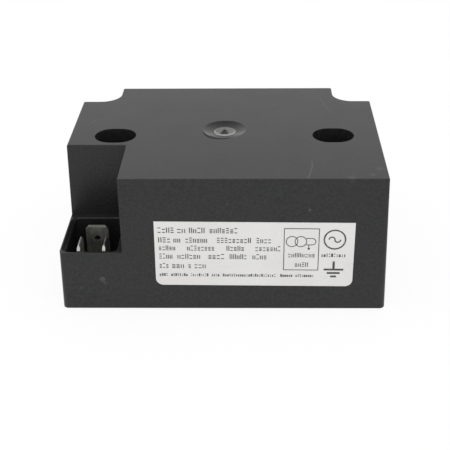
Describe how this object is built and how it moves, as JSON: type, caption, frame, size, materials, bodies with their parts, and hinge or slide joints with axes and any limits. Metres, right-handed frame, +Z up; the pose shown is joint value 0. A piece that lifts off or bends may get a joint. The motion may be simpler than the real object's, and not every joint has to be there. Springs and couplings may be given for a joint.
{
  "type": "ignition transformer",
  "caption": "Potted electronic ignition transformer in a black moulded block, with a corner well of blade terminals, two deep mounting slots and a high-voltage socket",
  "frame": {"origin": "middle of the case's foot, on the surface it stands on", "axes": "+Z up out of the top with the slots; -Y out of the wall with the label; +X to the right, away from the terminal well"},
  "size_m": [0.0868, 0.064, 0.0386],
  "materials": {
    "black_moulding": "moulded, fine satin texture",
    "potting_resin": "poured, slightly glossy",
    "label_film": "printed white label stock, satin",
    "board_laminate": "bare laminate",
    "tinned_brass": "tin plated, satin",
    "plated_pin": "nickel plated",
    "ferrite": "ground ferrite",
    "shim_film": "polyester film",
    "bobbin_plastic": "moulded",
    "copper_wire": "enamelled copper",
    "lead_insulation": "silicone",
    "capacitor_sleeve": "shrunk sleeve",
    "capacitor_box": "moulded box",
    "heat_sink_aluminium": "mill finish",
    "screw_steel": "zinc plated",
    "component_epoxy": "moulded epoxy",
    "varistor_coating": "dipped epoxy",
    "resistor_coating": "lacquered"
  },
  "bodies": {
    "root": {"case": "black_moulding", "potting_resin": "potting_resin", "rating_label": "label_film", "circuit_board": "board_laminate", "line_terminal": "tinned_brass", "neutral_terminal": "tinned_brass", "earth_terminal": "tinned_brass", "high_voltage_pin": "plated_pin", "front_core_half": "ferrite", "back_core_half": "ferrite", "choke_core": "ferrite", "core_gap_shims": "shim_film", "primary_bobbin": "bobbin_plastic", "secondary_bobbin": "bobbin_plastic", "primary_winding": "copper_wire", "feedback_winding": "copper_wire", "choke_winding": "copper_wire", "secondary_winding_1": "copper_wire", "secondary_winding_2": "copper_wire", "secondary_winding_3": "copper_wire", "secondary_winding_4": "copper_wire", "secondary_winding_5": "copper_wire", "secondary_winding_6": "copper_wire", "high_voltage_lead": "lead_insulation", "smoothing_capacitor": "capacitor_sleeve", "suppression_capacitor": "capacitor_box", "resonant_capacitor": "capacitor_box", "heat_sink": "heat_sink_aluminium", "transistor_screw": "screw_steel", "power_transistor": "component_epoxy", "mains_fuse": "component_epoxy", "bridge_rectifier": "component_epoxy", "clamp_diode": "component_epoxy", "varistor": "varistor_coating", "start_resistor": "resistor_coating", "gate_resistor": "resistor_coating"}
  },
  "joints": []
}
